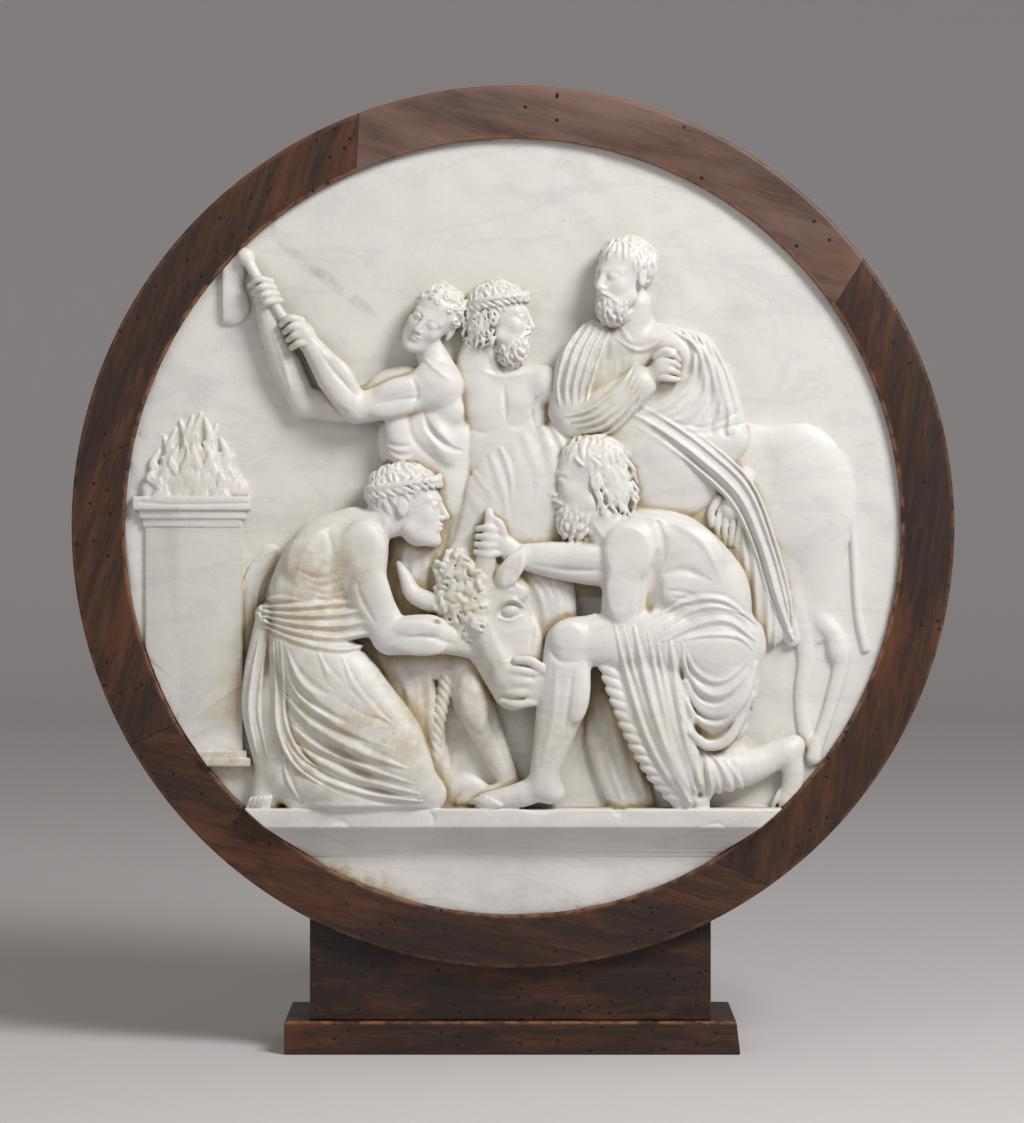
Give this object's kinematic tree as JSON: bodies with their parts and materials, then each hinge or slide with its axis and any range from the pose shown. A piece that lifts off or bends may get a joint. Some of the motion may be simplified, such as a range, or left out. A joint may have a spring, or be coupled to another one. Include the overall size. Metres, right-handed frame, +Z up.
{
  "type": "relief tondo",
  "caption": "Round white marble relief of men leading a bull to an altar, in a dark wooden ring frame that stands on a block and a foot board.",
  "frame": {"origin": "middle of the foot board's underside, on the floor", "axes": "+Z up, +X to the viewer's right, the relief faces -Y"},
  "size_m": [0.662, 0.1407, 0.728],
  "materials": {
    "marble": "hand-polished white marble with ochre dirt in the hollows",
    "frame_wood": "dark stained walnut, waxed and worn",
    "block_wood": "dark stained walnut, worm-eaten",
    "foot_wood": "dark stained walnut, worn and chipped edges"
  },
  "bodies": {
    "root": {"marble_tondo": "marble", "frame_felloe_top": "frame_wood", "frame_felloe_left": "frame_wood", "frame_felloe_bottom": "frame_wood", "frame_felloe_right": "frame_wood", "pedestal_block": "block_wood", "foot_board": "foot_wood"}
  },
  "joints": []
}
